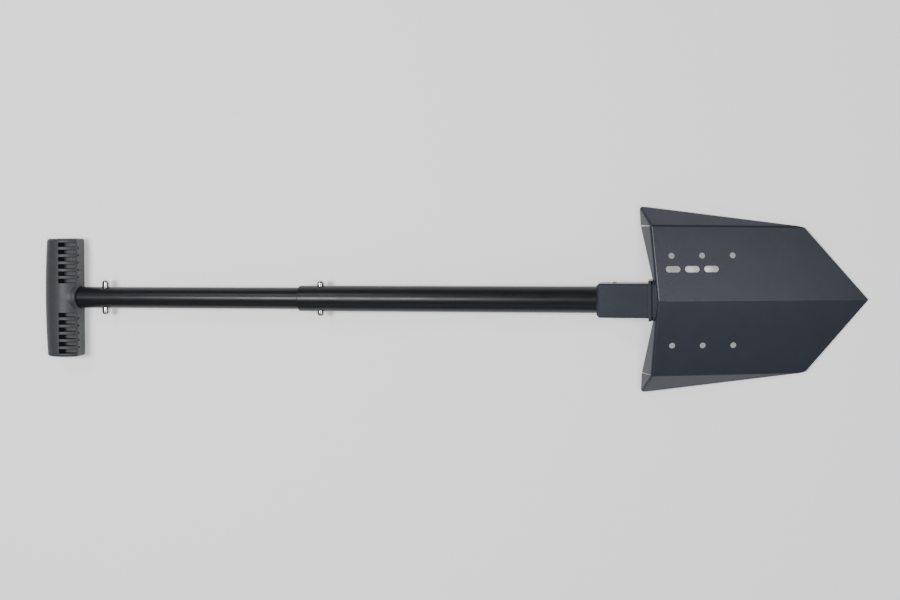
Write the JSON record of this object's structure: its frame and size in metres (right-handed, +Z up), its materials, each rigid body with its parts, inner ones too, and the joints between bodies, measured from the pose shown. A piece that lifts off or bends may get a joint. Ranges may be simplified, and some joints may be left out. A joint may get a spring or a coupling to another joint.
{
  "type": "camp shovel",
  "caption": "Camp shovel with a pointed folded-sheet blade, a square socket, a telescoping two-tube shaft with snap buttons, and a moulded T-grip.",
  "frame": {"origin": "centre of the footprint, on the flat surface that the shovel lies on with its blade's back upwards", "axes": "+X along the shaft from the grip to the blade's tip, +Y to the left seen from above with the tip ahead, +Z up through the blade's back"},
  "size_m": [0.9642, 0.2092, 0.0453],
  "materials": {
    "blade_powder_coat": "satin textured powder coat, charcoal blue-grey",
    "black_tube": "black anodised, semi-gloss",
    "polished_steel": "polished",
    "spring_steel": "blued spring steel, satin",
    "grip_plastic": "fine moulded texture, dark grey",
    "plug_plastic": "moulded, black",
    "rivet_metal": "plain satin"
  },
  "bodies": {
    "blade": {"blade_plate": "blade_powder_coat", "socket_tube": "blade_powder_coat", "socket_end_plate": "blade_powder_coat", "socket_collar": "blade_powder_coat", "socket_welds": "blade_powder_coat"},
    "lower_shaft": {"lower_tube": "black_tube", "lower_tube_plug": "plug_plastic", "socket_spring": "spring_steel"},
    "upper_shaft": {"upper_tube": "black_tube", "upper_tube_plug": "plug_plastic", "extension_spring": "spring_steel", "storage_spring": "spring_steel", "grip": "grip_plastic", "grip_rivet": "rivet_metal"},
    "socket_button_left": {"socket_button_left": "polished_steel"},
    "socket_button_right": {"socket_button_right": "polished_steel"},
    "extension_button_left": {"extension_button_left": "polished_steel"},
    "extension_button_right": {"extension_button_right": "polished_steel"},
    "storage_button_left": {"storage_button_left": "polished_steel"},
    "storage_button_right": {"storage_button_right": "polished_steel"}
  },
  "joints": [
    {"name": "blade_release", "type": "slide", "parent": "blade", "child": "lower_shaft", "axis": [-1, 0, -0.0083], "range_m": [0, 0.062], "deforming": ["socket_spring", "socket_button_left", "socket_button_right"]},
    {"name": "shaft_slide", "type": "slide", "parent": "lower_shaft", "child": "upper_shaft", "axis": [1, 0, 0.0083], "range_m": [0, 0.2707], "deforming": ["extension_spring", "extension_button_left", "extension_button_right"]},
    {"name": "socket_button_left_press", "type": "slide", "parent": "lower_shaft", "child": "socket_button_left", "axis": [0, -1, 0], "range_m": [0, 0.0062], "stiffness_N_per_m": 1500, "deforming": ["socket_spring"]},
    {"name": "socket_button_right_press", "type": "slide", "parent": "lower_shaft", "child": "socket_button_right", "axis": [0, 1, 0], "range_m": [0, 0.0062], "stiffness_N_per_m": 1500, "deforming": ["socket_spring"]},
    {"name": "extension_button_left_press", "type": "slide", "parent": "upper_shaft", "child": "extension_button_left", "axis": [0, -1, 0], "range_m": [0, 0.0085], "stiffness_N_per_m": 1500, "deforming": ["extension_spring"]},
    {"name": "extension_button_right_press", "type": "slide", "parent": "upper_shaft", "child": "extension_button_right", "axis": [0, 1, 0], "range_m": [0, 0.0085], "stiffness_N_per_m": 1500, "deforming": ["extension_spring"]},
    {"name": "storage_button_left_press", "type": "slide", "parent": "upper_shaft", "child": "storage_button_left", "axis": [0, -1, 0], "range_m": [0, 0.0085], "stiffness_N_per_m": 1500, "deforming": ["storage_spring"]},
    {"name": "storage_button_right_press", "type": "slide", "parent": "upper_shaft", "child": "storage_button_right", "axis": [0, 1, 0], "range_m": [0, 0.0085], "stiffness_N_per_m": 1500, "deforming": ["storage_spring"]}
  ],
  "couplings": [
    {"joint": "extension_button_left_press", "follows": "shaft_slide", "ratio": 0.0314},
    {"joint": "extension_button_right_press", "follows": "shaft_slide", "ratio": 0.0314}
  ]
}
